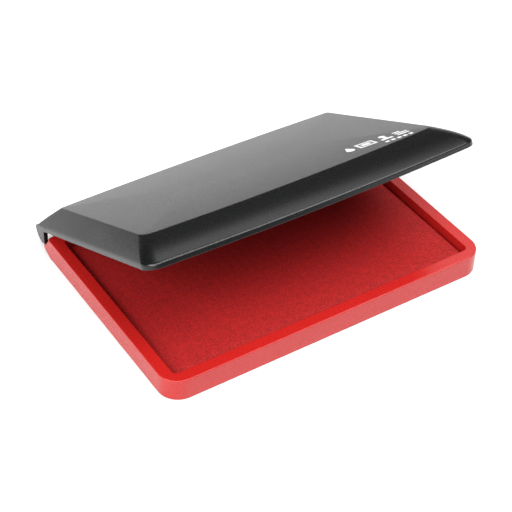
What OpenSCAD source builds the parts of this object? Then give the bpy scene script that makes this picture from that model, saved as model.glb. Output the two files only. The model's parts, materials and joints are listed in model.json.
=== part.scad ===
// Ink pad with a hinged lid: a shallow moulded tray holding a cloth-covered felt pad,
// and a bevelled moulded lid that turns on two short pins at the rear corners.
// Millimetres. X runs along the hinge, -Y is the front, +Z is up.
// The origin is the centre of the tray's underside.

/* [Tray] */
// Length of the tray along the hinge
tray_w = 124; // [110:1:140]
// Depth of the tray, front to back, without its rear foot rail
tray_d = 83.4; // [75:0.1:95]
// Height of the tray's rim above the table
tray_h = 8.3; // [7.8:0.1:8.8]
// Width of the flat rim round the pad
rim_w = 4.2; // [3.5:0.1:5]
// Thickness of the tray's floor
floor_t = 1.6; // [1.2:0.1:1.8]
// Plan radius of the tray's two front corners
tray_front_r = 7.3; // [4:0.1:10]
// Plan radius of the corners of the well that the pad sits in
well_r = 1.8; // [1.8:0.1:5]

/* [Pad] */
// Gap between the pad's side and the wall of the well
pad_gap = 0.8; // [0.8:0.1:2]
// Thickness of the woven cover
cloth_t = 0.35; // [0.2:0.05:0.4]
// Thickness of the stiff board under the felt
board_t = 0.8; // [0.6:0.1:1]
// Thickness of the lower felt, which holds the ink
reservoir_t = 1.6; // [1.2:0.1:1.8]
// Thickness of the upper, finer felt
wick_t = 1.05; // [0.8:0.05:1.2]
// How far the cover is folded in under the board
cloth_fold = 6; // [4:0.5:10]

/* [Lid] */
// Height of the lid from its bottom edge to its flat top
lid_h = 6.9; // [6.5:0.1:7.2]
// Height of the upright band round the lid's bottom edge
skirt_h = 1.8; // [1.6:0.1:2.5]
// Wall thickness of the lid
lid_t = 1.5; // [1.2:0.1:1.6]
// Slope of the front: how far the flat top is set in from the front edge
front_inset = 14.2; // [12:0.1:16]
// How far the flat top is set in from the rear edge
rear_inset = 9.4; // [8.5:0.1:10.5]
// How far the flat top is set in from each side
side_inset = 6.9; // [6:0.1:8]
// How far the middle of the front edge stands out, as a finger lip
front_bow = 2.6; // [1:0.1:3]
// How far the middle of the rear edge stands out
rear_bow = 0.8; // [0:0.1:0.8]

/* [Hinge] */
// Angle that the lid stands open at
lid_open = 26.5; // [0:0.5:150]
// Distance of the hinge line behind the tray's rear wall
pivot_back = 4.3; // [4.3:0.1:4.6]
// Height of the hinge line above the table
pivot_z = 7.9; // [7.8:0.1:8.1]
// Radius of the hinge pins
pin_r = 1.1; // [1:0.05:1.2]

/* [Hidden] */
$fn = 96;
eps = 0.01;
sides = [-1, 1];

// Tray
tray_rear_r = 1.5;
rear_wall_y = tray_d / 2;
well_w = tray_w - 2 * rim_w;
well_d = tray_d - 2 * rim_w;
rail_depth = 2.9;              // foot rail behind the rear wall
rail_h = 2.8;
rail_nose = 0.5;               // upright height of the rail's rear edge
ramp_start = 1.7;              // the underside starts to rise this far before the wall
cheek_h = 4.6;                 // the rail is taller in line with the lid's lugs
nib_r = 0.7;                   // nibs on the wall of the well that centre the pad
nib_h = 2.8;
nib_xs = [-42, -14, 14, 42];
nib_ys = [-20, 0, 20];

// Pad, built up from the floor: folded cover, board, two felts, cover
pad_w = well_w - 2 * pad_gap;
pad_d = well_d - 2 * pad_gap;
pad_r = max(well_r - pad_gap, 0.9);
core_w = pad_w - 2 * cloth_t;
core_d = pad_d - 2 * cloth_t;
core_r = pad_r - cloth_t;
board_z = floor_t + cloth_t;
reservoir_z = board_z + board_t;
wick_z = reservoir_z + reservoir_t;
pad_top = wick_z + wick_t + cloth_t;

// Hinge, seen from its own line
pivot_y = rear_wall_y + pivot_back;
lug_r = 4.4;                   // rounded lug at each end, in line with the lid's side wall
lug_t = lid_t;
lug_front = 2.4;               // the lug's front edge slopes back from here
lug_slope = 0.53;              // per millimetre of height
lug_gap = 0.2;                 // round the lug, in the tray
knuckle_gap = 0.3;
knuckle_out = tray_w / 2 - lug_t - 2;
knuckle_in = knuckle_out - 3.3;
knuckle_r = 2.1;
pin_clearance = 0.05;
pin_out = tray_w / 2 - 0.4;
pin_in = knuckle_in - 0.4;

// Lid, closed, with the hinge line as its origin
seat_gap = 0.1;
lid_bottom = tray_h + seat_gap - pivot_z;
lid_top = lid_bottom + lid_h;
lid_front = -tray_d - pivot_back + 0.8;
lid_rear = 3.2;
lid_front_r = 5.5;
lid_rear_r = 1.2;
facet_w = tray_w - 2 * side_inset;
facet_front = lid_front + front_inset;
facet_rear = lid_rear - rear_inset;
facet_front_r = 4;
facet_rear_r = 1;
facet_front_bow = 2.6;
facet_rear_bow = 1.8;
seal_gap = 0.5;                // between the lid's inner rib and the well
seal_t = 1.2;
seal_depth = 1.1;              // below the tray's rim
bead_r = 0.8;                  // catch beads on the front of the rib
bead_out = 0.35;
bead_l = 14;
bead_x = 30;

// Points of an arc, counter-clockwise
function arc(x, y, r, from, to, steps = 8) =
    [for (i = [0 : steps]) [x + r * cos(from + (to - from) * i / steps),
                            y + r * sin(from + (to - from) * i / steps)]];

// Angle at which a bowed edge meets its corner
function bow_angle(w, r, bow) = atan(2 * bow / (w / 2 - r));

// Points of an edge that bows out by bow in its middle, from x = -end to x = end
function bowed_edge(end, y, bow, out, steps = 16) =
    [for (i = [1 : steps - 1]) let (t = 2 * i / steps - 1)
        [-out * t * end, y + out * bow * (1 - t * t)]];

// Rounded rectangle whose front and rear edges may bow outwards
function outline(w, front, rear, front_r, rear_r, front_bow = 0, rear_bow = 0) =
    let (a = bow_angle(w, front_r, front_bow), b = bow_angle(w, rear_r, rear_bow),
         xf = w / 2 - front_r, xr = w / 2 - rear_r)
    concat(
        bowed_edge(xf + front_r * sin(a), front + front_r * (1 - cos(a)), front_bow, -1),
        arc(xf, front + front_r, front_r, a - 90, 0),
        arc(xr, rear - rear_r, rear_r, 0, 90 - b),
        bowed_edge(xr + rear_r * sin(b), rear - rear_r * (1 - cos(b)), rear_bow, 1),
        arc(-xr, rear - rear_r, rear_r, 90 + b, 180),
        arc(-xf, front + front_r, front_r, 180, 270 - a));

// Upright block with rounded corners, centred on the origin
module block(w, d, r, z, h) {
    translate([0, 0, z])
        linear_extrude(height = h)
            polygon(outline(w, -d / 2, d / 2, r, r));
}

// Round bar along X between two distances from the middle, on one side of the object
module bar(side, r, near, far) {
    translate([side > 0 ? near : -far, 0, 0])
        rotate([0, 90, 0])
            cylinder(r = r, h = far - near);
}

// Side profile, given as [y, z] points, drawn out along X
module profile(points, from, to) {
    translate([from, 0, 0])
        rotate([90, 0, 90])
            linear_extrude(height = to - from)
                polygon(points);
}

// From the hinge line's own frame to the tray's frame
module at_hinge() {
    translate([0, pivot_y, pivot_z])
        children();
}

// The lid's parts are drawn closed and swung open about the hinge line
module swung_open() {
    at_hinge()
        rotate([-lid_open, 0, 0])
            children();
}

// ---- Tray ----

module tray_body() {
    linear_extrude(height = tray_h)
        polygon(outline(tray_w, -tray_d / 2, rear_wall_y, tray_front_r, tray_rear_r));
}

// Foot rail behind the rear wall, with a sloping underside
module foot_rail() {
    tip = rear_wall_y + rail_depth;
    profile([[rear_wall_y - tray_rear_r - 1, 0], [rear_wall_y - ramp_start, 0],
             [tip, rail_h - rail_nose], [tip, rail_h],
             [rear_wall_y - tray_rear_r - 1, rail_h]],
            -tray_w / 2, tray_w / 2);
    for (side = sides)
        profile([[rear_wall_y - tray_rear_r - 1, rail_h - rail_nose],
                 [tip, rail_h - rail_nose], [tip, cheek_h],
                 [rear_wall_y - tray_rear_r - 1, tray_h]],
                side > 0 ? tray_w / 2 - lug_t : -tray_w / 2,
                side > 0 ? tray_w / 2 : lug_t - tray_w / 2);
}

// The two rear bottom corners are rounded off to match the sloping underside
module ramp_cut() {
    profile([[rear_wall_y - ramp_start, -1], [rear_wall_y - ramp_start, 0],
             [rear_wall_y + rail_depth, rail_h - rail_nose],
             [rear_wall_y + rail_depth, -1]],
            -tray_w, tray_w);
}

// Arm and eye that carry one hinge pin
module knuckle(side) {
    near = side > 0 ? knuckle_in : -knuckle_out;
    at_hinge() {
        bar(side, knuckle_r, knuckle_in, knuckle_out);
        profile([[-pivot_back - eps, -knuckle_r], [0, -knuckle_r],
                 [0, tray_h - pivot_z], [-pivot_back - eps, tray_h - pivot_z]],
                near, near + knuckle_out - knuckle_in);
    }
}

module well_nibs() {
    for (x = nib_xs, side = sides)
        translate([x, side * well_d / 2, floor_t - eps])
            cylinder(r = nib_r, h = nib_h);
    for (y = nib_ys, side = sides)
        translate([side * well_w / 2, y, floor_t - eps])
            cylinder(r = nib_r, h = nib_h);
}

module base_tray() {
    color([0.84, 0.17, 0.16])
    difference() {
        union() {
            difference() {
                union() {
                    tray_body();
                    foot_rail();
                }
                ramp_cut();
                block(well_w, well_d, well_r, floor_t, tray_h);
            }
            well_nibs();
            for (side = sides)
                knuckle(side);
        }
        at_hinge()
            for (side = sides) {
                bar(side, pin_r + pin_clearance, knuckle_in - 1, knuckle_out + 1);
                bar(side, lug_r + lug_gap, tray_w / 2 - lug_t - lug_gap, tray_w / 2 + 1);
            }
    }
}

// ---- Pad ----

module pad_board() {
    color([0.55, 0.53, 0.50])
        block(core_w, core_d, core_r, board_z, board_t);
}

module reservoir_felt() {
    color([0.55, 0.10, 0.10])
        block(core_w, core_d, core_r, reservoir_z, reservoir_t);
}

module wick_felt() {
    color([0.60, 0.10, 0.10])
        block(core_w, core_d, core_r, wick_z, wick_t);
}

module pad_cloth() {
    color([0.72, 0.14, 0.15])
    difference() {
        block(pad_w, pad_d, pad_r, floor_t, pad_top - floor_t);
        block(core_w, core_d, core_r, board_z, pad_top - cloth_t - board_z);
        block(core_w - 2 * cloth_fold, core_d - 2 * cloth_fold, core_r,
              floor_t - 1, cloth_t + 1 + eps);
    }
}

// ---- Lid ----

// Solid with an upright skirt and a flat top set in from it, shrunk by a wall's thickness
module lid_form(inset, bottom, top_cut) {
    slab = 0.05;
    hull() {
        translate([0, 0, bottom])
            linear_extrude(height = lid_bottom + skirt_h - bottom - top_cut / 2)
                polygon(outline(tray_w - 2 * inset, lid_front + inset, lid_rear - inset,
                                lid_front_r - inset, lid_rear_r - inset / 2,
                                front_bow, rear_bow));
        translate([0, 0, lid_top - top_cut - slab])
            linear_extrude(height = slab)
                polygon(outline(facet_w - inset, facet_front + inset / 2,
                                facet_rear - inset / 2, facet_front_r, facet_rear_r,
                                facet_front_bow, facet_rear_bow));
    }
}

// Rib inside the lid that drops into the well round the pad, with two catch beads
module seal_rib() {
    w = well_w - 2 * seal_gap;
    d = well_d - 2 * seal_gap;
    z = tray_h - seal_depth - pivot_z;
    r = well_r - seal_gap;
    h = lid_top - lid_t / 2 - z;
    intersection() {
        translate([0, -pivot_y, 0])
            difference() {
                block(w, d, r, z, h);
                block(w - 2 * seal_t, d - 2 * seal_t, max(r - seal_t, 0.3), z - 1, h + 2);
            }
        lid_form(lid_t / 2, z - 1, lid_t / 2);
    }
    for (side = sides)
        translate([0, -pivot_y - d / 2 - bead_out + bead_r, z + bead_r])
            bar(side, bead_r, bead_x, bead_x + bead_l);
}

// Rounded lug at one end, cut back in front and level with the top of the skirt
module lug(side) {
    reach = 2 * lug_r;
    skirt_top = lid_bottom + skirt_h;
    difference() {
        bar(side, lug_r, tray_w / 2 - lug_t, tray_w / 2);
        profile([[-reach, skirt_top], [reach, skirt_top], [reach, reach], [-reach, reach]],
                -tray_w, tray_w);
        profile([[-reach, lid_bottom], [-lug_front, lid_bottom],
                 [lug_slope * (reach + lid_bottom) - lug_front, -reach], [-reach, -reach]],
                -tray_w, tray_w);
    }
}

// Space for one knuckle: a slot through the rear skirt and a round relief behind it
module knuckle_space(side) {
    near = knuckle_in - knuckle_gap;
    far = knuckle_out + knuckle_gap;
    bar(side, knuckle_r + knuckle_gap, near, far);
    profile([[-knuckle_r, lid_bottom - 1], [lid_rear + 2, lid_bottom - 1],
             [lid_rear + 2, knuckle_r + knuckle_gap - eps],
             [-knuckle_r, knuckle_r + knuckle_gap - eps]],
            side > 0 ? near : -far, side > 0 ? far : -near);
}

module lid_shell() {
    color([0.27, 0.27, 0.28])
    swung_open()
    difference() {
        union() {
            difference() {
                lid_form(0, lid_bottom, 0);
                lid_form(lid_t, lid_bottom - 1, lid_t);
            }
            seal_rib();
            for (side = sides)
                lug(side);
        }
        for (side = sides) {
            knuckle_space(side);
            bar(side, pin_r, knuckle_in, pin_out);
        }
    }
}

module hinge_pin(side) {
    color([0.20, 0.20, 0.21])
    swung_open()
        bar(side, pin_r, pin_in, pin_out);
}

module hinge_pin_left() {
    hinge_pin(-1);
}

module hinge_pin_right() {
    hinge_pin(1);
}

base_tray();
pad_board();
reservoir_felt();
wick_felt();
pad_cloth();
lid_shell();
hinge_pin_left();
hinge_pin_right();
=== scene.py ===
import bmesh
import bpy
import json
import math
from mathutils import Matrix, Vector
from mathutils.bvhtree import BVHTree


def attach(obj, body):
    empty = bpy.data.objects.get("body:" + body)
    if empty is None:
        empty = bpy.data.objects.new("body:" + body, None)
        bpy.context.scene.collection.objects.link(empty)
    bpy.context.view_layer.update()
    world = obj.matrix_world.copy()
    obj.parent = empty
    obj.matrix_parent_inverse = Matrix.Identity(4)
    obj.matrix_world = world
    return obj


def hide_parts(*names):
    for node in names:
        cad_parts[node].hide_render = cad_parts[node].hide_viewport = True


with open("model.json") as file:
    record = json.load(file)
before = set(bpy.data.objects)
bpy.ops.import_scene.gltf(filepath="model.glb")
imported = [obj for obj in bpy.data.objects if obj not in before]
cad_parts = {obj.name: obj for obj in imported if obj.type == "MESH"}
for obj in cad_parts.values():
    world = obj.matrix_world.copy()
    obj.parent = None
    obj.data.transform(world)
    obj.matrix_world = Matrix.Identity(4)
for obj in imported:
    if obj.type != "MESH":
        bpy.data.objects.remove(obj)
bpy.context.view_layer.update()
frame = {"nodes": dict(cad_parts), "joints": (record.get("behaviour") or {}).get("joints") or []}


# ---- Table, light and camera ----
# The pad stands on a plain white table in a studio. A wide soft light high in front reaches
# under the lid, three weaker ones fill the left, the right and the rear, and the dim room
# keeps the lid dark.

MM = 0.001


def area_light(name, place, aim, width, depth, watts):
    data = bpy.data.lights.new(name, "AREA")
    data.shape = "RECTANGLE"
    data.size, data.size_y = width, depth
    data.energy = watts
    lamp = bpy.data.objects.new(name, data)
    lamp.location = place
    lamp.rotation_mode = "QUATERNION"
    lamp.rotation_quaternion = (Vector(aim) - Vector(place)).to_track_quat("-Z", "Y")
    bpy.context.scene.collection.objects.link(lamp)


def flat_mesh(name, corners):
    mesh = bpy.data.meshes.new(name)
    mesh.from_pydata(corners, [], [list(range(len(corners)))])
    made = bpy.data.objects.new(name, mesh)
    bpy.context.scene.collection.objects.link(made)
    return made


def node(tree, kind, inputs=None, **settings):
    made = tree.nodes.new(kind)
    for key, value in settings.items():
        setattr(made, key, value)
    for key, value in (inputs or {}).items():
        if isinstance(value, bpy.types.NodeSocket):
            tree.links.new(value, made.inputs[key])
        else:
            made.inputs[key].default_value = value
    return made


def new_material(name):
    made = bpy.data.materials.new(name)
    made.use_nodes = True
    made.node_tree.nodes.clear()
    return made, made.node_tree


def finish_material(tree, shader):
    output = tree.nodes.new("ShaderNodeOutputMaterial")
    tree.links.new(shader.outputs[0], output.inputs["Surface"])


TABLE_HALF = 3.0
table = flat_mesh("table", [(-TABLE_HALF, -TABLE_HALF, 0), (TABLE_HALF, -TABLE_HALF, 0),
                            (TABLE_HALF, TABLE_HALF, 0), (-TABLE_HALF, TABLE_HALF, 0)])
table_white, tree = new_material("table_white")
finish_material(tree, node(tree, "ShaderNodeBsdfDiffuse", {"Color": (0.76, 0.76, 0.76, 1)}))
table.data.materials.append(table_white)

area_light("front_high", (0.15, -0.42, 1.05), (0, -0.02, 0), 1.8, 0.6, 25)
area_light("back_right", (0.40, 0.60, 0.95), (0, 0, 0.03), 0.9, 0.6, 3.5)
area_light("left", (-1.10, -0.42, 0.78), (0, 0, 0.02), 1.2, 0.8, 29)
area_light("front_right", (1.1, -1.0, 0.35), (0, 0, 0.02), 0.8, 0.5, 3)

studio = bpy.data.worlds.new("studio")
studio.use_nodes = True
studio.node_tree.nodes["Background"].inputs["Color"].default_value = (1, 1, 1, 1)
studio.node_tree.nodes["Background"].inputs["Strength"].default_value = 0.03
bpy.context.scene.world = studio
bpy.context.scene.view_settings.view_transform = "Standard"

CAMERA_PLACE = Vector((-0.2114, -0.3128, 0.3251))
CAMERA_AZIMUTH, CAMERA_HEIGHT, CAMERA_ROLL = (math.radians(a) for a in (-33.56, 40.46, 1.45))
lens = bpy.data.cameras.new("camera")
lens.lens = 101.67
lens.sensor_width = 36
lens.clip_start, lens.clip_end = 0.01, 20
camera = bpy.data.objects.new("camera", lens)
back = Vector((math.sin(CAMERA_AZIMUTH) * math.cos(CAMERA_HEIGHT),
               -math.cos(CAMERA_AZIMUTH) * math.cos(CAMERA_HEIGHT),
               math.sin(CAMERA_HEIGHT)))
level = Vector((0, 0, 1)).cross(back).normalized()
upright = back.cross(level)
across = level * math.cos(CAMERA_ROLL) + upright * math.sin(CAMERA_ROLL)
upward = upright * math.cos(CAMERA_ROLL) - level * math.sin(CAMERA_ROLL)
camera.matrix_world = Matrix((
    (across.x, upward.x, back.x, CAMERA_PLACE.x),
    (across.y, upward.y, back.y, CAMERA_PLACE.y),
    (across.z, upward.z, back.z, CAMERA_PLACE.z),
    (0, 0, 0, 1)))
bpy.context.scene.collection.objects.link(camera)
bpy.context.scene.camera = camera


# ---- Tray ----
# One injection moulding in solid red plastic: a shallow rectangular tray with a flat rim,
# a low foot rail behind it and two eyes at the rear for the lid's hinge pins.

hinge = next(joint for joint in frame["joints"] if joint["name"] == "lid_hinge")
HINGE_Y, HINGE_Z = (v / MM for v in hinge["pos_m"][1:])
LID_OPEN = math.radians(-hinge["range_deg"][0])


def arc(x, y, r, start, end, steps):
    turns = [math.radians(start + (end - start) * i / steps) for i in range(steps + 1)]
    return [(x + r * math.cos(a), y + r * math.sin(a)) for a in turns]


def bowed_edge(end, y, bow, out, steps):
    """An edge from one corner to the next that stands out by bow in its middle."""
    ts = [2 * i / steps - 1 for i in range(1, steps)]
    return [(-out * t * end, y + out * bow * (1 - t * t)) for t in ts]


def straight_edge(x, start, end, steps):
    return [(x, start + (end - start) * i / steps) for i in range(1, steps)]


def outline(half, front, rear, front_r, rear_r, front_bow=0.0, rear_bow=0.0,
            corner_steps=12, edge_steps=24, side_steps=12):
    """Counter-clockwise outline of a rounded rectangle, in millimetres. Two outlines with
    the same steps match point for point."""
    xf, xr = half - front_r, half - rear_r
    a = math.degrees(math.atan2(2 * front_bow, xf))
    b = math.degrees(math.atan2(2 * rear_bow, xr))
    rad_a, rad_b = math.radians(a), math.radians(b)
    return (bowed_edge(xf + front_r * math.sin(rad_a),
                       front + front_r * (1 - math.cos(rad_a)), front_bow, -1, edge_steps)
            + arc(xf, front + front_r, front_r, a - 90, 0, corner_steps)
            + straight_edge(half, front + front_r, rear - rear_r, side_steps)
            + arc(xr, rear - rear_r, rear_r, 0, 90 - b, corner_steps)
            + bowed_edge(xr + rear_r * math.sin(rad_b),
                         rear - rear_r * (1 - math.cos(rad_b)), rear_bow, 1, edge_steps)
            + arc(-xr, rear - rear_r, rear_r, 90 + b, 180, corner_steps)
            + straight_edge(-half, rear - rear_r, front + front_r, side_steps)
            + arc(-xf, front + front_r, front_r, 180, 270 - a, corner_steps))


def at_height(points, z):
    return [Vector((x, y, z)) for x, y in points]


def quarter(start, end, corner, steps=5):
    """Points of a rounded corner between two points, pulled towards the sharp corner."""
    turns = [i / steps for i in range(steps + 1)]
    return [(1 - t) ** 2 * start + 2 * t * (1 - t) * corner + t * t * end for t in turns]


def rounded(rings, radii, steps=5):
    """Rings of a profile whose inner corners are rounded: radii[i] is the set-back at ring i,
    and a ring whose set-back is 0 stays sharp."""
    made = []
    for i, ring in enumerate(rings):
        if not radii[i]:
            made.append(ring)
            continue
        before, after = rings[i - 1], rings[i + 1]
        columns = []
        for p, q, s in zip(before, ring, after):
            start = q + (p - q).normalized() * radii[i]
            end = q + (s - q).normalized() * radii[i]
            columns.append(quarter(start, end, q, steps))
        made += [list(row) for row in zip(*columns)]
    return made


def shell(name, rings, closed_loop=False):
    """A closed mesh through rings of matching points, in millimetres. The first and the
    last ring are capped, unless the rings close on themselves."""
    count = len(rings[0])
    points = [p * MM for ring in rings for p in ring]
    faces = []
    last = len(rings) if closed_loop else len(rings) - 1
    for r in range(last):
        a, b = r * count, (r + 1) % len(rings) * count
        faces += [(a + i, a + (i + 1) % count, b + (i + 1) % count, b + i)
                  for i in range(count)]
    if not closed_loop:
        faces.append(tuple(reversed(range(count))))
        faces.append(tuple(range(last * count, (last + 1) * count)))
    mesh = bpy.data.meshes.new(name)
    mesh.from_pydata(points, [], faces)
    made = bpy.data.objects.new(name, mesh)
    bpy.context.scene.collection.objects.link(made)
    outward(made)
    return made


def outward(piece):
    """Welds doubled points and turns every face outwards."""
    work = bmesh.new()
    work.from_mesh(piece.data)
    bmesh.ops.remove_doubles(work, verts=work.verts, dist=1e-7)
    bmesh.ops.recalc_face_normals(work, faces=work.faces)
    work.to_mesh(piece.data)
    work.free()


def bar(name, r, near, far, y=0.0, z=0.0, chamfer=0.0, steps=64):
    """A round bar along X, in millimetres, with chamfered ends."""
    turns = [2 * math.pi * i / steps for i in range(steps)]
    stations = [(near, r - chamfer), (near + chamfer, r), (far - chamfer, r),
                (far, r - chamfer)] if chamfer else [(near, r), (far, r)]
    return shell(name, [[Vector((x, y + q * math.cos(t), z + q * math.sin(t)))
                         for t in turns] for x, q in stations])


def slab(name, profile, near, far):
    """A side profile, given as (y, z) points, drawn out along X."""
    return shell(name, [[Vector((x, y, z)) for y, z in profile] for x in (near, far)])


def combine(piece, tool, operation):
    """Joins a tool solid to the piece or cuts it out of it, and removes the tool."""
    step = piece.modifiers.new("combine", "BOOLEAN")
    step.operation = operation
    step.solver = "MANIFOLD"
    step.object = tool
    apply_modifiers(piece)
    bpy.data.objects.remove(tool)


def apply_modifiers(piece):
    """Turns the piece and its modifiers into a plain mesh."""
    view = bpy.context.evaluated_depsgraph_get()
    view.update()
    result = bpy.data.meshes.new_from_object(piece.evaluated_get(view), depsgraph=view)
    old = piece.data
    piece.modifiers.clear()
    piece.data = result
    bpy.data.meshes.remove(old)


def soften(piece, width, angle=40):
    """Breaks the sharp edges by a small rounding, as a mould does, and shades the flats flat."""
    edge = piece.modifiers.new("edge", "BEVEL")
    edge.width = width * MM
    edge.segments = 3
    edge.limit_method = "ANGLE"
    edge.angle_limit = math.radians(angle)
    edge.use_clamp_overlap = True
    edge.miter_outer = "MITER_ARC"
    apply_modifiers(piece)
    piece.data.shade_smooth()
    piece.data.set_sharp_from_angle(angle=math.radians(50))
    flats = piece.modifiers.new("flats", "WEIGHTED_NORMAL")
    flats.keep_sharp = True
    flats.weight = 80
    apply_modifiers(piece)


def paint(piece, material):
    """Gives every face of a finished piece one material."""
    piece.data.materials.clear()
    piece.data.materials.append(material)
    piece.data.polygons.foreach_set("material_index", [0] * len(piece.data.polygons))


def grain_group():
    """Fine grain that spark erosion leaves in a mould, with faint clouding and handling wear."""
    group = bpy.data.node_groups.new("moulded_grain", "ShaderNodeTree")
    for name, kind, side, value in (
            ("Grain Size", "NodeSocketFloat", "INPUT", 0.3),
            ("Cloud Size", "NodeSocketFloat", "INPUT", 20.0),
            ("Height", "NodeSocketFloat", "OUTPUT", None),
            ("Clouds", "NodeSocketFloat", "OUTPUT", None)):
        socket = group.interface.new_socket(name, in_out=side, socket_type=kind)
        if value is not None:
            socket.default_value = value
    given = group.nodes.new("NodeGroupInput")
    result = group.nodes.new("NodeGroupOutput")
    place = node(group, "ShaderNodeTexCoord")
    scale = [node(group, "ShaderNodeMath", {0: 1000.0, 1: given.outputs[size]},
                  operation="DIVIDE") for size in ("Grain Size", "Cloud Size")]
    fine = node(group, "ShaderNodeTexNoise",
                {"Vector": place.outputs["Object"], "Scale": scale[0].outputs[0],
                 "Detail": 2.0, "Roughness": 0.6})
    pits = node(group, "ShaderNodeTexVoronoi",
                {"Vector": place.outputs["Object"], "Scale": scale[0].outputs[0]})
    height = node(group, "ShaderNodeMath",
                  {0: fine.outputs["Fac"], 1: pits.outputs["Distance"]}, operation="MULTIPLY")
    clouds = node(group, "ShaderNodeTexNoise",
                  {"Vector": place.outputs["Object"], "Scale": scale[1].outputs[0],
                   "Detail": 3.0})
    group.links.new(height.outputs[0], result.inputs["Height"])
    group.links.new(clouds.outputs["Fac"], result.inputs["Clouds"])
    return group


moulded_grain = grain_group()


def plastic(name, dark, light, rough_low, rough_high, grain_size, grain_height, ior=1.5):
    """Moulded plastic: two close shades clouded into each other, and grain in its gloss."""
    made, tree = new_material(name)
    grain = node(tree, "ShaderNodeGroup", node_tree=moulded_grain)
    grain.inputs["Grain Size"].default_value = grain_size
    grain.inputs["Cloud Size"].default_value = 26.0
    colour = node(tree, "ShaderNodeMix", {"Factor": grain.outputs["Clouds"]},
                  data_type="RGBA")
    colour.inputs["A"].default_value = (*dark, 1)
    colour.inputs["B"].default_value = (*light, 1)
    rough = node(tree, "ShaderNodeMapRange",
                 {"Value": grain.outputs["Height"], "From Max": 0.5,
                  "To Min": rough_low, "To Max": rough_high})
    bump = node(tree, "ShaderNodeBump",
                {"Height": grain.outputs["Height"], "Distance": grain_height * MM,
                 "Strength": 1.0})
    shader = node(tree, "ShaderNodeBsdfPrincipled",
                  {"Base Color": colour.outputs["Result"], "Roughness": rough.outputs[0],
                   "Normal": bump.outputs[0], "IOR": ior})
    finish_material(tree, shader)
    return made


tray_red = plastic("tray_red", (0.345, 0.0085, 0.0070), (0.375, 0.0100, 0.0085),
                   0.24, 0.34, 0.35, 0.008)

TRAY_HALF, TRAY_FRONT, TRAY_REAR = 62.0, -41.7, 41.7
TRAY_H, FLOOR_T, RIM_W = 8.3, 1.6, 4.2
TRAY_FRONT_R, TRAY_REAR_R = 7.3, 1.5
WELL_HALF, WELL_DEEP, WELL_R = TRAY_HALF - RIM_W, TRAY_REAR - RIM_W, 1.8


def tray_ring(inset, z):
    return at_height(outline(TRAY_HALF - inset, TRAY_FRONT + inset, TRAY_REAR - inset,
                             TRAY_FRONT_R - inset, TRAY_REAR_R - inset), z)


def well_ring(inset, z):
    return at_height(outline(WELL_HALF - inset, inset - WELL_DEEP, WELL_DEEP - inset,
                             WELL_R - inset, WELL_R - inset), z)


RIM_ROUND, WELL_ROUND, FLOOR_ROUND = 0.45, 0.3, 0.5
tray = shell("tray", rounded(
    [tray_ring(1.2, 0), tray_ring(0, 0), tray_ring(0, TRAY_H), well_ring(0, TRAY_H),
     well_ring(0, FLOOR_T), well_ring(1.5, FLOOR_T)],
    [0, RIM_ROUND, RIM_ROUND, WELL_ROUND, FLOOR_ROUND, 0]))

# The foot rail stands out behind the tray, and its underside slopes up to a short nose.
RAIL_TIP, RAIL_H, RAIL_NOSE, RAMP_START = TRAY_REAR + 2.9, 2.8, 0.5, 1.7
RAIL_ROOT, CHEEK_H, PAST_SIDE = TRAY_REAR - 2.5, 4.6, 70
LUG_T, LUG_R, LUG_GAP = 1.5, 4.4, 0.2
rail = slab("rail", [(RAIL_ROOT, 0), (TRAY_REAR - RAMP_START, 0),
                     (RAIL_TIP, RAIL_H - RAIL_NOSE), (RAIL_TIP, RAIL_H),
                     (RAIL_ROOT, RAIL_H)], -TRAY_HALF, TRAY_HALF)
combine(tray, slab("ramp", [(TRAY_REAR - RAMP_START, -1), (TRAY_REAR - RAMP_START, 0),
                            (RAIL_TIP, RAIL_H - RAIL_NOSE), (RAIL_TIP, -1)],
                   -PAST_SIDE, PAST_SIDE), "DIFFERENCE")
combine(tray, rail, "UNION")

# At each end: a cheek on the outside, an eye for the pin, and a round recess for the lug.
KNUCKLE_OUT = TRAY_HALF - LUG_T - 2
KNUCKLE_IN = KNUCKLE_OUT - 3.3
KNUCKLE_R, PIN_R, PIN_PLAY = 2.1, 1.1, 0.05
ARM_ROOT = TRAY_REAR - 0.6
for side in (-1, 1):
    cheek = [(RAIL_ROOT, RAIL_H - RAIL_NOSE), (RAIL_TIP, RAIL_H - RAIL_NOSE),
             (RAIL_TIP, CHEEK_H), (RAIL_ROOT, TRAY_H)]
    near, far = sorted((side * (TRAY_HALF - LUG_T), side * TRAY_HALF))
    combine(tray, slab("cheek", cheek, near, far), "UNION")
    near, far = sorted((side * KNUCKLE_IN, side * KNUCKLE_OUT))
    arm = [(ARM_ROOT, HINGE_Z - KNUCKLE_R), (HINGE_Y, HINGE_Z - KNUCKLE_R),
           (HINGE_Y, TRAY_H), (ARM_ROOT, TRAY_H)]
    combine(tray, slab("arm", arm, near, far), "UNION")
    combine(tray, bar("eye", KNUCKLE_R, near, far, HINGE_Y, HINGE_Z), "UNION")
    combine(tray, bar("bore", PIN_R + PIN_PLAY, near - 1, far + 1, HINGE_Y, HINGE_Z),
            "DIFFERENCE")
    near, far = sorted((side * (TRAY_HALF - LUG_T - LUG_GAP), side * (TRAY_HALF + 1)))
    combine(tray, bar("lug_recess", LUG_R + LUG_GAP, near, far, HINGE_Y, HINGE_Z),
            "DIFFERENCE")


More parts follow.
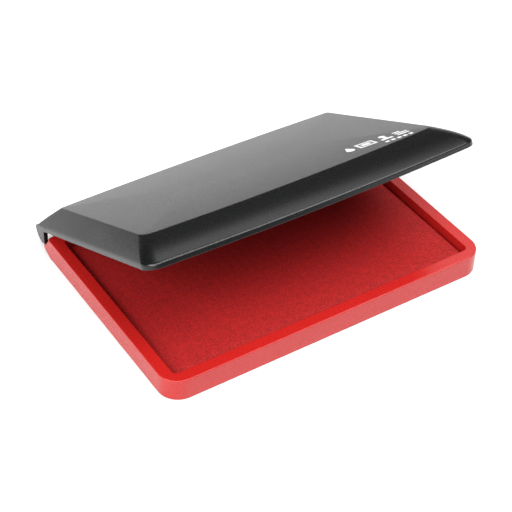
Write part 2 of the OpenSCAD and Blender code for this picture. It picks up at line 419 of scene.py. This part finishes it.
def nib_tree(material):
    """Geometry nodes that stand a small half-round nib on every given point of the wall."""
    tree = bpy.data.node_groups.new("well_nibs", "GeometryNodeTree")
    for name, kind, side in (("Geometry", "NodeSocketGeometry", "INPUT"),
                             ("Radius", "NodeSocketFloat", "INPUT"),
                             ("Height", "NodeSocketFloat", "INPUT"),
                             ("Geometry", "NodeSocketGeometry", "OUTPUT")):
        tree.interface.new_socket(name, in_out=side, socket_type=kind)
    given = tree.nodes.new("NodeGroupInput")
    result = tree.nodes.new("NodeGroupOutput")
    nib = node(tree, "GeometryNodeMeshCylinder",
               {"Vertices": 24, "Radius": given.outputs["Radius"],
                "Depth": given.outputs["Height"]})
    placed = node(tree, "GeometryNodeInstanceOnPoints",
                  {"Points": given.outputs["Geometry"], "Instance": nib.outputs["Mesh"]})
    real = node(tree, "GeometryNodeRealizeInstances", {"Geometry": placed.outputs[0]})
    coloured = node(tree, "GeometryNodeSetMaterial", {"Geometry": real.outputs[0],
                                                      "Material": material})
    tree.links.new(coloured.outputs[0], result.inputs[0])
    return tree


NIB_R, NIB_H, NIB_ROOT = 0.7, 2.8, 0.5
nib_spots = ([(x, side * WELL_DEEP) for x in (-42, -14, 14, 42) for side in (-1, 1)]
             + [(side * WELL_HALF, y) for y in (-20, 0, 20) for side in (-1, 1)])
spots = bpy.data.meshes.new("nibs")
spots.from_pydata([Vector((x, y, FLOOR_T + (NIB_H - NIB_ROOT) / 2)) * MM for x, y in nib_spots],
                  [], [])
nibs = bpy.data.objects.new("nibs", spots)
bpy.context.scene.collection.objects.link(nibs)
grow = nibs.modifiers.new("nibs", "NODES")
grow.node_group = nib_tree(tray_red)
for item in grow.node_group.interface.items_tree:
    if item.in_out == "INPUT" and item.name == "Radius":
        grow[item.identifier] = NIB_R * MM
    if item.in_out == "INPUT" and item.name == "Height":
        grow[item.identifier] = (NIB_H + NIB_ROOT) * MM
apply_modifiers(nibs)
combine(tray, nibs, "UNION")
EDGE_R = 0.12
soften(tray, EDGE_R)
paint(tray, tray_red)
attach(tray, "base")
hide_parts("base_tray")


# ---- Board and felts ----
# The pad is built on a stiff grey board, with a needled felt that holds the ink and a finer
# felt over it that carries the ink up. They are plain blocks, hidden under the cover.

def fibre_material(name, dark, light, hair, depth):
    made, tree = new_material(name)
    place = node(tree, "ShaderNodeTexCoord")
    stretch = node(tree, "ShaderNodeMapping", {"Vector": place.outputs["Object"],
                                               "Scale": (1.0, 1.0, 3.0)})
    hairs = node(tree, "ShaderNodeTexNoise",
                 {"Vector": stretch.outputs[0], "Scale": 1000.0 / hair, "Detail": 4.0,
                  "Distortion": 1.2})
    colour = node(tree, "ShaderNodeMix", {"Factor": hairs.outputs["Fac"]}, data_type="RGBA")
    colour.inputs["A"].default_value = (*dark, 1)
    colour.inputs["B"].default_value = (*light, 1)
    bump = node(tree, "ShaderNodeBump", {"Height": hairs.outputs["Fac"],
                                         "Distance": depth * MM, "Strength": 1.0})
    finish_material(tree, node(tree, "ShaderNodeBsdfPrincipled",
                               {"Base Color": colour.outputs["Result"],
                                "Roughness": 0.85, "Normal": bump.outputs[0]}))
    return made


def dress(name, material):
    """Gives a CAD node its material."""
    piece = frame["nodes"][name]
    piece.data.materials.clear()
    piece.data.materials.append(material)


dress("pad_board", fibre_material("pasteboard", (0.30, 0.27, 0.23), (0.48, 0.44, 0.38),
                                  0.5, 0.02))
dress("reservoir_felt", fibre_material("soaked_felt", (0.25, 0.008, 0.010),
                                       (0.42, 0.020, 0.022), 0.4, 0.15))
dress("wick_felt", fibre_material("wick_red", (0.28, 0.009, 0.011),
                                  (0.45, 0.022, 0.024), 0.25, 0.1))


# ---- Pad cover ----
# A piece of plain-woven cotton, damp with red ink, pulled tight over the felts and turned in
# under the board all round. The pull and the swollen felt leave it very slightly domed.

PAD_HALF, PAD_DEEP, PAD_R = 57.0, 36.7, 1.0
PAD_TOP, CLOTH_T, CLOTH_FOLD = 5.75, 0.35, 6.0
CLOTH_STEP, CORNER_STEPS = 1.5, 5
EDGE_DROP, FIRST_TUCK, UNDER_GAP = 0.9, 0.5, 0.03


def spread(half):
    """Evenly spaced stations from -half to half, about one step apart."""
    count = round(2 * half / CLOTH_STEP)
    return [-half + 2 * half * i / count for i in range(count + 1)]


def cloth_mesh(name):
    """The cover as an open sheet: an even grid on top, then rounds that bend over the edge,
    go down the sides and turn in underneath."""
    xs, ys = spread(PAD_HALF - PAD_R), spread(PAD_DEEP - PAD_R)
    points = [(x, y, PAD_TOP) for y in ys for x in xs]
    faces = [(j * len(xs) + i, j * len(xs) + i + 1, (j + 1) * len(xs) + i + 1,
              (j + 1) * len(xs) + i) for j in range(len(ys) - 1) for i in range(len(xs) - 1)]
    right, top = len(xs) - 1, len(ys) - 1
    corner = [math.radians(90 * i / CORNER_STEPS) for i in range(CORNER_STEPS + 1)]
    loop = []
    for path, turn in (([(i, 0) for i in range(right + 1)], -90),
                       ([(right, j) for j in range(top + 1)], 0),
                       ([(right - i, top) for i in range(right + 1)], 90),
                       ([(0, top - j) for j in range(top + 1)], 180)):
        loop += [(spot, math.radians(turn)) for spot in path[:-1]]
        loop += [(path[-1], math.radians(turn) + a) for a in corner[:-1]]
    before = [j * len(xs) + i for (i, j), _ in loop]
    bend = [(PAD_R * math.sin(a), PAD_TOP - EDGE_DROP * (1 - math.cos(a)))
            for a in corner[1:]]
    side = [(PAD_R, z) for z in (4.0, 3.2, 2.4, FLOOR_T + 0.5)]
    under = [(PAD_R - 0.15, FLOOR_T + 0.15), (PAD_R - FIRST_TUCK, FLOOR_T + UNDER_GAP)]
    rows = bend + side + under
    rounds = [[(xs[i] + reach * math.cos(a), ys[j] + reach * math.sin(a), z)
               for (i, j), a in loop] for reach, z in rows]
    edge_x, edge_y = PAD_HALF - FIRST_TUCK, PAD_DEEP - FIRST_TUCK
    for tuck in (2.0, 4.0, CLOTH_FOLD):
        further = tuck - FIRST_TUCK
        shrink_x, shrink_y = 1 - further / edge_x, 1 - further / edge_y
        rounds.append([(x * shrink_x, y * shrink_y, z) for x, y, z in rounds[len(rows) - 1]])
    for ring in rounds:
        start = len(points)
        points += ring
        after = [start + k for k in range(len(loop))]
        for k in range(len(loop)):
            n = (k + 1) % len(loop)
            face = [before[k], after[k], after[n], before[n]]
            faces.append(tuple(dict.fromkeys(face)))
        before = after
    mesh = bpy.data.meshes.new(name)
    mesh.from_pydata([Vector(p) * MM for p in points], [], faces)
    made = bpy.data.objects.new(name, mesh)
    bpy.context.scene.collection.objects.link(made)
    outward(made)
    return made


SIM_SCALE, SIM_FRAMES, SWELL_MAX, HELD_DEPTH = 10.0, 20, 0.22, 0.4


def swell(piece):
    """Lets the felt push the cloth up: a cloth simulation on an enlarged copy, held fast
    from the edge down, whose movement is capped and brought back to the real size."""
    copy = bpy.data.objects.new("swelling", piece.data.copy())
    bpy.context.scene.collection.objects.link(copy)
    copy.data.transform(Matrix.Scale(SIM_SCALE, 4))
    held = copy.vertex_groups.new(name="held")
    edge_z = (PAD_TOP - HELD_DEPTH) * MM
    held.add([v.index for v in piece.data.vertices if v.co.z < edge_z], 1.0, "REPLACE")
    cloth = copy.modifiers.new("cloth", "CLOTH")
    cloth.settings.vertex_group_mass = "held"
    cloth.settings.quality = 6
    cloth.settings.mass = 0.3
    cloth.settings.tension_stiffness = 40
    cloth.settings.compression_stiffness = 40
    cloth.settings.use_pressure = True
    cloth.settings.uniform_pressure_force = 4
    cloth.settings.effector_weights.gravity = 0
    cloth.point_cache.frame_start, cloth.point_cache.frame_end = 1, SIM_FRAMES
    for step in range(1, SIM_FRAMES + 1):
        bpy.context.scene.frame_set(step)
    view = bpy.context.evaluated_depsgraph_get()
    swollen = copy.evaluated_get(view).data
    reach = SWELL_MAX * MM
    for vertex, moved in zip(piece.data.vertices, swollen.vertices):
        shift = moved.co / SIM_SCALE - vertex.co
        vertex.co += shift * (reach / (reach + shift.length))
    bpy.data.objects.remove(copy)
    bpy.context.scene.frame_set(1)


THREAD, PATCH = 0.55, 3.0


def woven(name, dark, light):
    """Damp plain weave: warp and weft ridges, uneven ink in the yarns and cloudy patches."""
    made, tree = new_material(name)
    place = node(tree, "ShaderNodeTexCoord")
    threads = []
    for direction in ("X", "Y"):
        threads.append(node(tree, "ShaderNodeTexWave",
                            {"Vector": place.outputs["Object"], "Scale": 1000 / (THREAD * 20),
                             "Distortion": 1.2, "Detail": 2.0, "Detail Scale": 3.0},
                            wave_type="BANDS", bands_direction=direction))
    weave = node(tree, "ShaderNodeMath", {0: threads[0].outputs["Fac"],
                                          1: threads[1].outputs["Fac"]},
                 operation="MULTIPLY")
    mottle = [node(tree, "ShaderNodeTexNoise",
                   {"Vector": place.outputs["Object"], "Scale": 1000 / size,
                    "Detail": detail, "Roughness": 0.65}) for size, detail in
              ((THREAD, 1.0), (PATCH, 3.0))]
    fine = node(tree, "ShaderNodeMath", {0: mottle[1].outputs["Fac"], 1: 0.25,
                                         2: mottle[0].outputs["Fac"]},
                operation="MULTIPLY_ADD")
    share = node(tree, "ShaderNodeMapRange", {"Value": fine.outputs[0], "From Min": 0.42,
                                              "From Max": 0.84})
    colour = node(tree, "ShaderNodeMix", {"Factor": share.outputs[0]}, data_type="RGBA")
    colour.inputs["A"].default_value = (*dark, 1)
    colour.inputs["B"].default_value = (*light, 1)
    height = node(tree, "ShaderNodeMath", {0: weave.outputs[0], 1: share.outputs[0]},
                  operation="ADD")
    bump = node(tree, "ShaderNodeBump", {"Height": height.outputs[0], "Distance": 0.06 * MM,
                                         "Strength": 0.8})
    rough = node(tree, "ShaderNodeMapRange", {"Value": share.outputs[0], "To Min": 0.75,
                                              "To Max": 0.5})
    finish_material(tree, node(tree, "ShaderNodeBsdfPrincipled",
                               {"Base Color": colour.outputs["Result"],
                                "Roughness": rough.outputs[0], "Specular IOR Level": 0.2,
                                "Normal": bump.outputs[0]}))
    return made


cover = cloth_mesh("pad_cover")
swell(cover)
thick = cover.modifiers.new("thickness", "SOLIDIFY")
thick.thickness = CLOTH_T * MM
thick.offset = -1
apply_modifiers(cover)
cover.data.shade_smooth()
paint(cover, woven("cloth_red", (0.18, 0.0050, 0.0055), (0.35, 0.0115, 0.0115)))
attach(cover, "base")
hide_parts("pad_cloth")


# ---- Lid ----
# One dark grey moulding with a fine grain: a flat top with sloping sides, an upright skirt
# round the edge, a sealing rib that drops into the well, and a hinge lug at each end.

lid_grey = plastic("lid_grey", (0.0040, 0.0042, 0.0045), (0.0052, 0.0054, 0.0058),
                   0.24, 0.34, 0.42, 0.020, ior=1.44)

LID_BOTTOM, LID_TOP, SKIRT_H, LID_T = 0.5, 7.4, 1.8, 1.5
LID_FRONT, LID_REAR = -86.9, 3.2
LID_FRONT_R, LID_REAR_R, FRONT_BOW, REAR_BOW = 5.5, 1.2, 2.6, 0.8
FACET_HALF, FACET_FRONT, FACET_REAR = 55.1, LID_FRONT + 14.2, LID_REAR - 9.4
FACET_FRONT_R, FACET_REAR_R, FACET_REAR_BOW = 4, 1, 1.8
SKIRT_TOP = LID_BOTTOM + SKIRT_H


def skirt_ring(inset, z):
    return at_height(outline(TRAY_HALF - inset, LID_FRONT + inset, LID_REAR - inset,
                             LID_FRONT_R - inset, LID_REAR_R - inset / 2,
                             FRONT_BOW, REAR_BOW), z)


def facet_ring(inset, z):
    return at_height(outline(FACET_HALF - inset, FACET_FRONT + inset, FACET_REAR - inset,
                             max(FACET_FRONT_R - inset, 0.6),
                             max(FACET_REAR_R - inset, 0.6), FRONT_BOW, FACET_REAR_BOW), z)


CROWN, CROWN_DEEP = 0.4, 32.0
SLOPE_STEPS = 10


def crowned(inset):
    """The flat top is very slightly domed, so that it doesn't sink as it cools."""
    t = 1 - inset / CROWN_DEEP
    return facet_ring(inset, LID_TOP + CROWN * (1 - t * t))


def slope_rings(top, bottom, bulge=0.042):
    """The sloping sides between the top and the skirt. The front one rounds over more and
    more towards the skirt. The bulge is a share of the slope's length."""
    rings = []
    for step in range(1, SLOPE_STEPS):
        t = step / SLOPE_STEPS
        ring = []
        for p, q in zip(top, bottom):
            down = q - p
            out = Vector((down.x, down.y, 0)).normalized()
            normal = (out * -down.z + Vector((0, 0, 1)) * down.dot(out)).normalized()
            rise = 2.6 * t * (1 - t * t) * bulge * down.length * max(0.3, -out.y)
            ring.append(p + down * t + normal * rise)
        rings.append(ring)
    return rings


top_edge, skirt_edge = facet_ring(0, LID_TOP), skirt_ring(0, SKIRT_TOP)
slope = slope_rings(top_edge, skirt_edge)
dome = [crowned(inset) for inset in (28, 24, 20, 16, 12, 8, 5, 2)]
TOP_ROUND, SKIRT_ROUND, FOOT_ROUND = 0.35, 0.7, 0.25
outside = rounded(dome + [top_edge] + slope
                  + [skirt_edge, skirt_ring(0, LID_BOTTOM), skirt_ring(LID_T, LID_BOTTOM)],
                  [0] * len(dome) + [TOP_ROUND] + [0] * len(slope)
                  + [SKIRT_ROUND, FOOT_ROUND, 0])
inside = [skirt_ring(LID_T, LID_BOTTOM), skirt_ring(LID_T, SKIRT_TOP - LID_T / 2),
          facet_ring(LID_T / 2, LID_TOP - LID_T), facet_ring(2 * LID_T, LID_TOP - LID_T)]
lid = shell("lid", outside[:-1] + inside)

RIB_PLAY, RIB_DROP = 0.5, 1.1
RIB_HALF, RIB_DEEP, RIB_R = WELL_HALF - RIB_PLAY, WELL_DEEP - RIB_PLAY, WELL_R - RIB_PLAY
RIB_T, RIB_Z = 1.2, TRAY_H - RIB_DROP - HINGE_Z


def rib_ring(inset, z):
    return [p - Vector((0, HINGE_Y, 0)) for p in
            at_height(outline(RIB_HALF - inset, inset - RIB_DEEP, RIB_DEEP - inset,
                              RIB_R - inset, RIB_R - inset), z)]


RIB_TOP, RIB_CHAMFER, ROOM_INSET = 7.0, 0.25, 0.75
rib = shell("rib", [rib_ring(0, RIB_Z + RIB_CHAMFER), rib_ring(0, RIB_TOP),
                    rib_ring(RIB_T, RIB_TOP), rib_ring(RIB_T, RIB_Z + RIB_CHAMFER),
                    rib_ring(RIB_T - RIB_CHAMFER, RIB_Z), rib_ring(RIB_CHAMFER, RIB_Z)],
            closed_loop=True)
room = shell("room", [skirt_ring(ROOM_INSET, -3), skirt_ring(ROOM_INSET, SKIRT_TOP - 0.4),
                      facet_ring(0.4, LID_TOP - ROOM_INSET)])
combine(rib, room, "INTERSECT")
combine(lid, rib, "UNION")

# Two catch beads sit on the front of the rib. Each lug is cut off in front along a slant,
# and the lid's rear wall is cleared round the tray's eyes.
BEAD_R, BEAD_OUT, BEAD_NEAR, BEAD_FAR = 0.8, 0.35, 30, 44
LUG_FRONT, LUG_END_Y, LUG_END_Z = 2.4, 2.5, -8.8
KNUCKLE_GAP, PIN_INSET = 0.3, 0.4
SLOT_TOP = KNUCKLE_R + KNUCKLE_GAP - 0.01
for side in (-1, 1):
    near, far = sorted((side * BEAD_NEAR, side * BEAD_FAR))
    combine(lid, bar("bead", BEAD_R, near, far, -HINGE_Y - RIB_DEEP - BEAD_OUT + BEAD_R,
                     RIB_Z + BEAD_R, 0.3, 24), "UNION")
    near, far = sorted((side * (TRAY_HALF - LUG_T), side * TRAY_HALF))
    lug = bar("lug", LUG_R, near, far)
    combine(lug, slab("clip", [(-9, SKIRT_TOP), (9, SKIRT_TOP), (9, 9), (-9, 9)],
                      -PAST_SIDE, PAST_SIDE), "DIFFERENCE")
    combine(lug, slab("lug_front", [(-9, LID_BOTTOM), (-LUG_FRONT, LID_BOTTOM),
                                    (LUG_END_Y, LUG_END_Z), (-9, LUG_END_Z)],
                      -PAST_SIDE, PAST_SIDE), "DIFFERENCE")
    combine(lid, lug, "UNION")
    near, far = sorted((side * (KNUCKLE_IN - KNUCKLE_GAP), side * (KNUCKLE_OUT + KNUCKLE_GAP)))
    combine(lid, bar("relief", KNUCKLE_R + KNUCKLE_GAP, near, far), "DIFFERENCE")
    combine(lid, slab("slot", [(-KNUCKLE_R, LID_BOTTOM - 1), (LID_REAR + 2, LID_BOTTOM - 1),
                               (LID_REAR + 2, SLOT_TOP), (-KNUCKLE_R, SLOT_TOP)],
                      near, far), "DIFFERENCE")
    near, far = sorted((side * KNUCKLE_IN, side * (TRAY_HALF - PIN_INSET)))
    combine(lid, bar("pin_bore", PIN_R, near, far), "DIFFERENCE")
soften(lid, EDGE_R)

# The top's faces are kept while the lid is still shut, for the sign to be laid on them.
top_faces = BVHTree.FromPolygons([v.co.copy() for v in lid.data.vertices],
                                 [list(p.vertices) for p in lid.data.polygons])
swing = (Matrix.Translation((0, HINGE_Y * MM, HINGE_Z * MM))
         @ Matrix.Rotation(-LID_OPEN, 4, "X"))
lid.data.transform(swing)
paint(lid, lid_grey)
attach(lid, "lid")
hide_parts("lid_shell")


# ---- Sign on the lid ----
# A row of small picture signs, screen printed in white near the front right corner: a drop
# of ink, a pad, a hand stamp and a stamped sheet, with a row of short bars below them.

INK_T = 0.04


def round_sign(x, y, r, steps=20):
    return [(x + r * math.cos(2 * math.pi * i / steps), y + r * math.sin(2 * math.pi * i / steps))
            for i in range(steps)]


def box_sign(x0, y0, x1, y1):
    return [(x0, y0), (x1, y0), (x1, y1), (x0, y1)]


def drop_sign(x, y, r):
    return arc(x, y, r, -210, 30, 18) + [(x, y + 2.6 * r)]


def frame_sign(x0, y0, x1, y1, width):
    return [box_sign(x0, y0, x1, y0 + width), box_sign(x0, y1 - width, x1, y1),
            box_sign(x0, y0 + width, x0 + width, y1 - width),
            box_sign(x1 - width, y0 + width, x1, y1 - width)]


SIGN_X, SIGN_Y, SIGN_TURN = 36.0, -65.6, math.radians(-3.6)
SIGN_START, SIGN_SUNK = 20, 0.05
signs = [drop_sign(-9.8, -0.6, 1.5)]
signs += frame_sign(-6.6, -2.1, 0.0, 3.0, 0.8) + [box_sign(-5.0, -0.5, -1.6, 1.4)]
signs += [box_sign(1.8, -2.1, 6.2, -0.7), box_sign(3.3, -0.7, 4.7, 1.4), round_sign(4, 2.3, 1.2)]
signs += [box_sign(8.0, -2.1, 12.6, -1.2), box_sign(8.0, -0.3, 12.6, 0.6),
          box_sign(8.0, 1.5, 10.8, 2.4)]
signs += [box_sign(1.4 + 2.3 * i, -5.4, 2.8 + 2.3 * i, -4.0) for i in range(5)]
sign_points, sign_faces = [], []
for shape in signs:
    start, count = len(sign_points), len(shape)
    for lift in (-SIGN_SUNK, INK_T):
        for u, v in shape:
            x = SIGN_X + u * math.cos(SIGN_TURN) - v * math.sin(SIGN_TURN)
            y = SIGN_Y + u * math.sin(SIGN_TURN) + v * math.cos(SIGN_TURN)
            hit = top_faces.ray_cast(Vector((x, y, SIGN_START)) * MM, Vector((0, 0, -1)))[0]
            sign_points.append(Vector((x * MM, y * MM, hit.z + lift * MM)))
    sign_faces.append(tuple(range(start, start + count)))
    sign_faces.append(tuple(range(start + count, start + 2 * count)))
    sign_faces += [(start + i, start + (i + 1) % count, start + count + (i + 1) % count,
                    start + count + i) for i in range(count)]
sign_mesh = bpy.data.meshes.new("lid_sign")
sign_mesh.from_pydata(sign_points, [], sign_faces)
sign = bpy.data.objects.new("lid_sign", sign_mesh)
bpy.context.scene.collection.objects.link(sign)
outward(sign)
sign.data.transform(swing)
paint(sign, plastic("print_white", (0.62, 0.62, 0.62), (0.74, 0.74, 0.74), 0.45, 0.6, 0.4,
                    0.004))
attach(sign, "lid")


# ---- Hinge pins ----
# Two short smooth pins of black plastic, moulded to size. Each is pressed tight into a lug
# of the lid and turns with a little play in an eye of the tray.

pin_black = plastic("pin_black", (0.010, 0.010, 0.011), (0.014, 0.014, 0.015),
                    0.28, 0.36, 0.5, 0.004)
for name in ("hinge_pin_left", "hinge_pin_right"):
    dress(name, pin_black)
